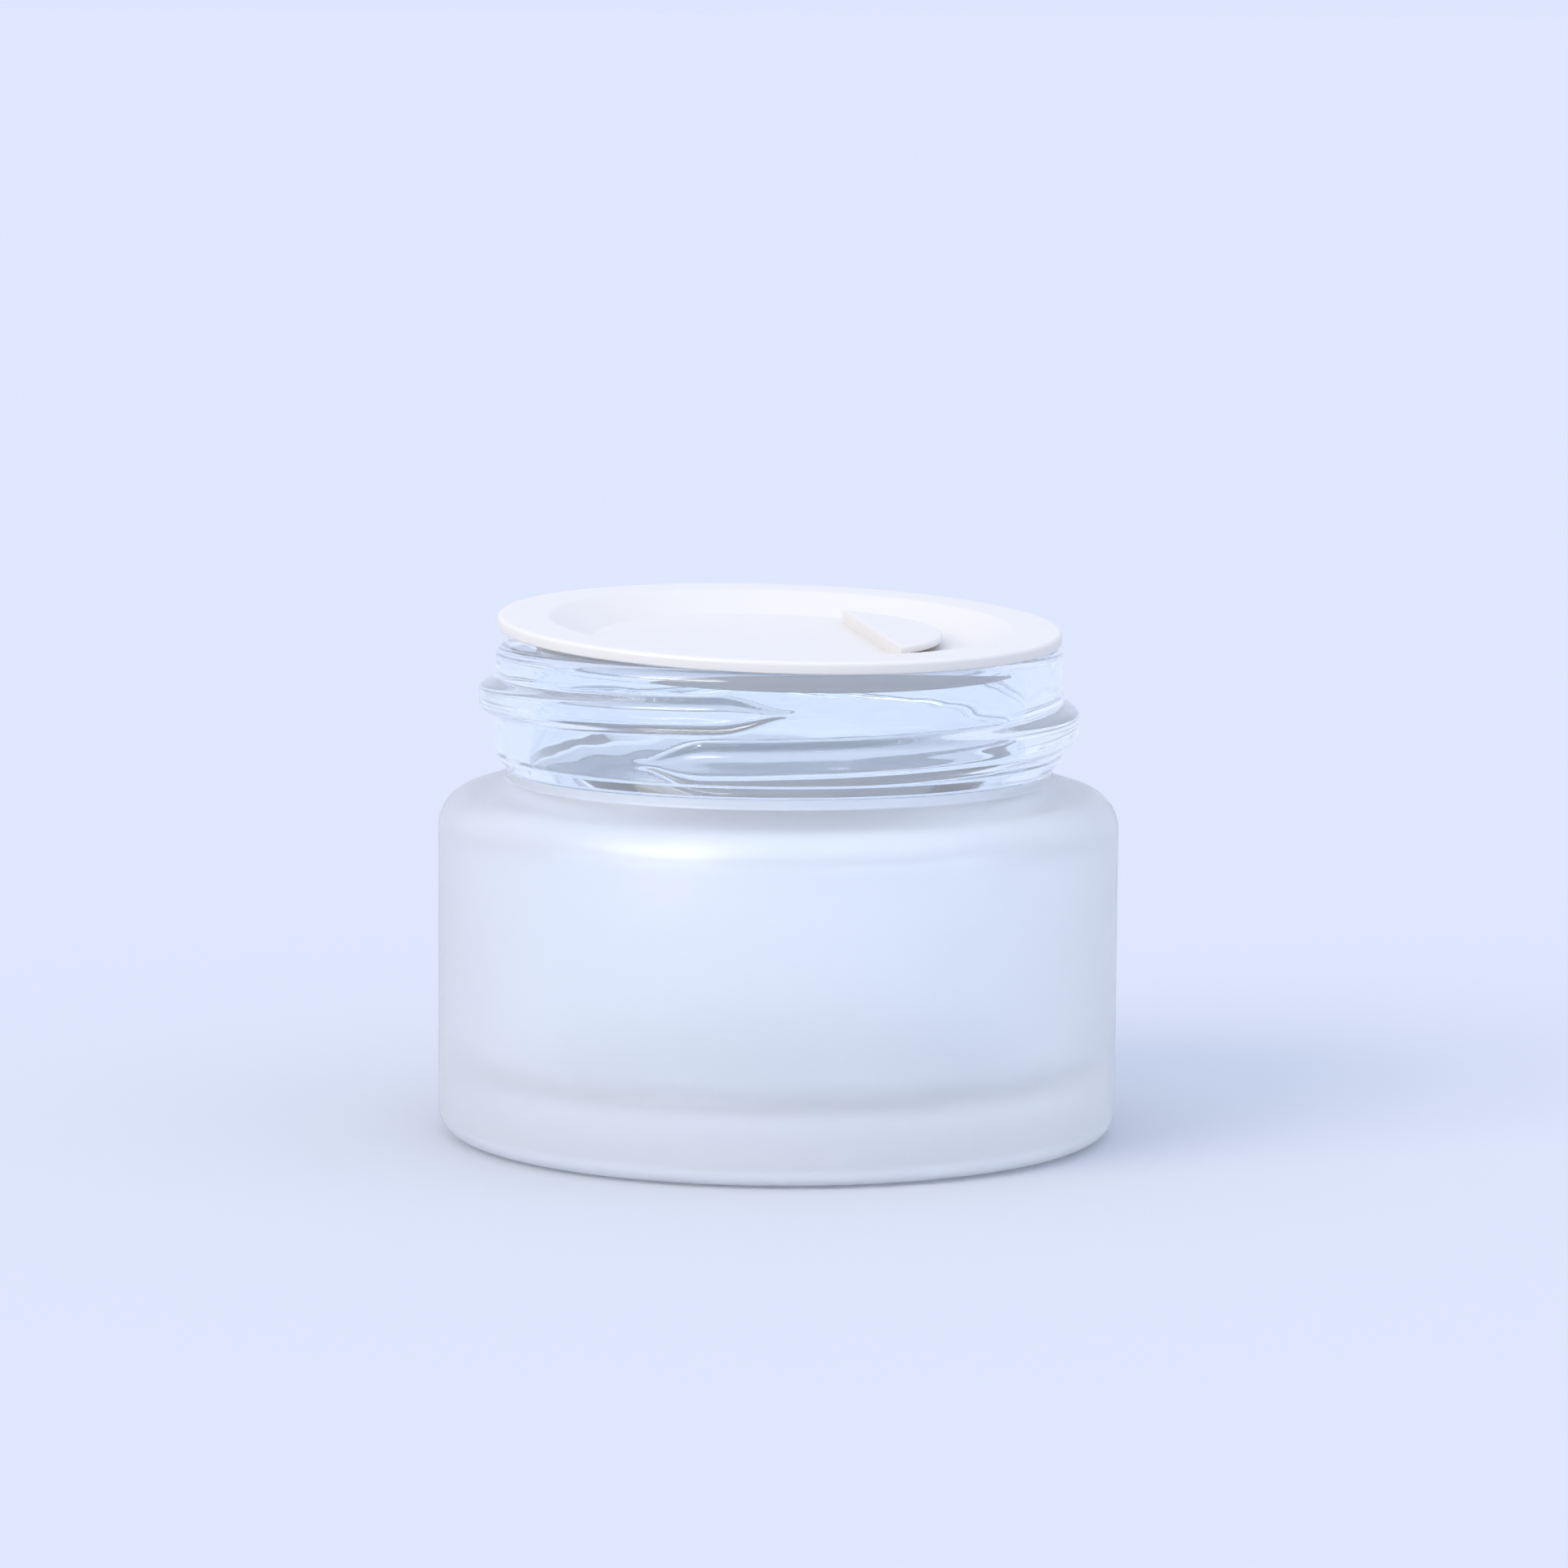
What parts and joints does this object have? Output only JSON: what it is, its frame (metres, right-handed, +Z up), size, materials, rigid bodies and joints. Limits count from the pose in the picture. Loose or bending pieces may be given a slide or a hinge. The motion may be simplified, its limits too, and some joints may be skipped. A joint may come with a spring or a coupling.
{
  "type": "cosmetic cream jar",
  "caption": "Low round frosted-glass cream jar with a clear threaded neck, closed by a loose white plastic inner disc with a finger tab.",
  "frame": {"origin": "centre of the ring that the jar stands on, at the bottom of the jar", "axes": "+Z up along the jar's axis, -Y the front, +X the side of the disc's finger tab"},
  "size_m": [0.06, 0.06, 0.0468],
  "materials": {
    "jar_glass": "one piece of glass: satin-frosted outside from the base to the top of the shoulder, clear and glossy on the neck and thread",
    "white_plastic": "soft satin white polypropylene, slightly translucent"
  },
  "bodies": {
    "jar": {"glass_jar": "jar_glass"},
    "disc": {"inner_disc": "white_plastic"}
  },
  "joints": [
    {"name": "disc_lift", "type": "slide", "parent": "jar", "child": "disc", "axis": [0, 0, 1], "range_m": [0, 0.03]}
  ]
}
